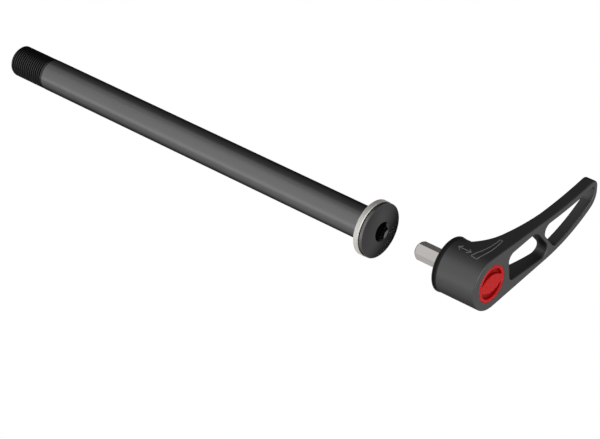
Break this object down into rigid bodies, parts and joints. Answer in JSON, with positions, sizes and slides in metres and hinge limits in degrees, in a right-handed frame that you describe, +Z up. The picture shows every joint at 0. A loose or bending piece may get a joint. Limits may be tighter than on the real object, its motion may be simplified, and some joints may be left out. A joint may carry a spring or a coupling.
{
  "type": "bicycle thru axle",
  "caption": "Hollow threaded thru axle with a captive washer and a plug-in slotted lever on a hexagon bit.",
  "frame": {"origin": "on the axle's axis, in the plane of the washer's clamping face", "axes": "+X along the axle from the thread to the head and lever, +Y along the lever's arm, +Z up"},
  "size_m": [0.2235, 0.0692, 0.0229],
  "materials": {
    "shaft": "black anodised, satin",
    "washer": "clear anodised, satin",
    "spring_steel": "plain",
    "rubber": "plain",
    "spindle_steel": "plated, satin",
    "glide_plastic": "matt",
    "red_cap": "satin red",
    "lever": "black anodised, fine blasted"
  },
  "bodies": {
    "axle": {"axle_shaft": "shaft", "washer_clip": "spring_steel", "grip_ring": "rubber"},
    "washer": {"washer": "washer"},
    "spindle": {"drive_spindle": "spindle_steel", "spring_plate": "spring_steel", "spindle_screw": "spring_steel", "lift_spring": "spring_steel"},
    "carriage": {"spring_seat": "spring_steel"},
    "lever": {"lever_arm": "lever", "toothed_bush": "spindle_steel", "glide_ring": "glide_plastic", "lever_cap": "red_cap"}
  },
  "joints": [
    {"name": "washer_turn", "type": "hinge", "parent": "axle", "child": "washer", "pos_m": [0.00105, 0, 0], "axis": [1, 0, 0], "continuous": true},
    {"name": "lever_plug", "type": "slide", "parent": "axle", "child": "spindle", "axis": [1, 0, 0], "range_m": [-0.02875, 0]},
    {"name": "lever_lift", "type": "slide", "parent": "spindle", "child": "carriage", "axis": [1, 0, 0], "range_m": [0, 0.003], "stiffness_N_per_m": 1000, "springref_m": -0.005, "deforming": ["lift_spring"]},
    {"name": "lever_turn", "type": "hinge", "parent": "carriage", "child": "lever", "pos_m": [0.04, 0, 0], "axis": [1, 0, 0], "continuous": true}
  ]
}
